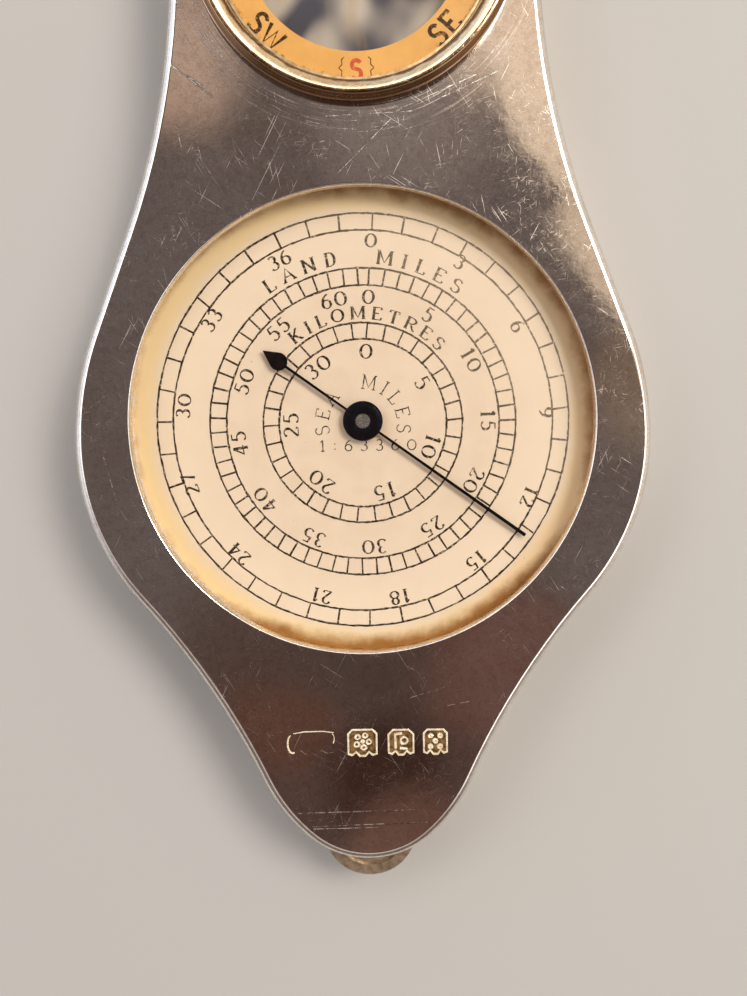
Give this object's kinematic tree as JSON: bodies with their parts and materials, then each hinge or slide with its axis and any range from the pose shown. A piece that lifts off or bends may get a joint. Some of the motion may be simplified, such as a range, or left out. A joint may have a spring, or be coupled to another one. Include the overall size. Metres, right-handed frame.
{
  "type": "map measurer",
  "caption": "Flat silver-cased opisometer with a round dial and pointer, a geared tracing wheel at the tip, an inset compass and a suspension ring.",
  "frame": {"origin": "the pointer's axis on the flat back face", "axes": "+Y along the case from the dial to the compass, +Z out of the dial, +X to the right of the dial"},
  "size_m": [0.0476, 0.1035, 0.0095],
  "materials": {
    "silver": "polished sterling silver with fine wear scratches",
    "brass": "rolled brass",
    "gilt_brass": "gilt brass, polished and worn",
    "bush_bronze": "turned bronze",
    "steel": "turned steel",
    "wheel_metal": "milled metal, browned with age",
    "blued_steel": "dark blued steel",
    "compass_base": "dark silvered plate, scratched",
    "dial_card": "printed cream card, aged brown at the edge",
    "compass_card": "orange-yellow painted ring with dark letters",
    "glass": "clear flat glass"
  },
  "bodies": {
    "case": {"front_shell": "silver", "back_cover": "silver", "case_posts": "silver", "suspension_lug": "silver", "dial_glass": "glass", "compass_glass": "glass", "dial_spacer_ring": "brass", "dial_card": "dial_card", "dial_plate": "brass", "case_screws": "steel", "movement_screws": "steel", "wheel_front_bush": "bush_bronze", "pivot_bushes": "bush_bronze", "movement_back_plate": "brass", "movement_front_plate": "brass", "movement_pillars": "brass", "compass_bowl": "brass", "compass_base_plate": "compass_base", "compass_pivot": "steel", "compass_ring_card": "compass_card", "compass_spacer_ring": "brass", "compass_bezel": "gilt_brass"},
    "pointer_train": {"centre_arbor": "steel", "centre_wheel": "brass", "pointer_hub": "blued_steel", "pointer_hand": "blued_steel"},
    "intermediate_train": {"intermediate_arbor": "steel", "intermediate_wheel": "brass"},
    "idler_train": {"idler_arbor": "steel", "idler_gear": "brass"},
    "tracing_train": {"tracing_arbor": "steel", "tracing_wheel": "wheel_metal"},
    "needle": {"compass_needle": "blued_steel", "needle_cap": "brass"},
    "ring": {"suspension_ring": "silver"}
  },
  "joints": [
    {"name": "pointer_spin", "type": "hinge", "parent": "case", "child": "pointer_train", "pos_m": [0, 0, 0.0059], "axis": [0, 0, 1], "continuous": true},
    {"name": "intermediate_spin", "type": "hinge", "parent": "case", "child": "intermediate_train", "pos_m": [0, -0.0168, 0.003], "axis": [0, 0, 1], "continuous": true},
    {"name": "idler_spin", "type": "hinge", "parent": "case", "child": "idler_train", "pos_m": [0, -0.0286, 0.003], "axis": [0, 0, 1], "continuous": true},
    {"name": "tracing_wheel_spin", "type": "hinge", "parent": "case", "child": "tracing_train", "pos_m": [0, -0.036, 0.0046], "axis": [0, 0, 1], "continuous": true},
    {"name": "compass_needle_spin", "type": "hinge", "parent": "case", "child": "needle", "pos_m": [0, 0.0381, 0.0062], "axis": [0, 0, 1], "continuous": true},
    {"name": "ring_swing", "type": "hinge", "parent": "case", "child": "ring", "pos_m": [0, 0.0543, 0.004], "axis": [1, 0, 0], "range_deg": [-78.65, 121.35]}
  ],
  "couplings": [
    {"joint": "intermediate_spin", "follows": "pointer_spin", "ratio": -6},
    {"joint": "idler_spin", "follows": "pointer_spin", "ratio": 4.7273},
    {"joint": "tracing_wheel_spin", "follows": "pointer_spin", "ratio": -39}
  ]
}
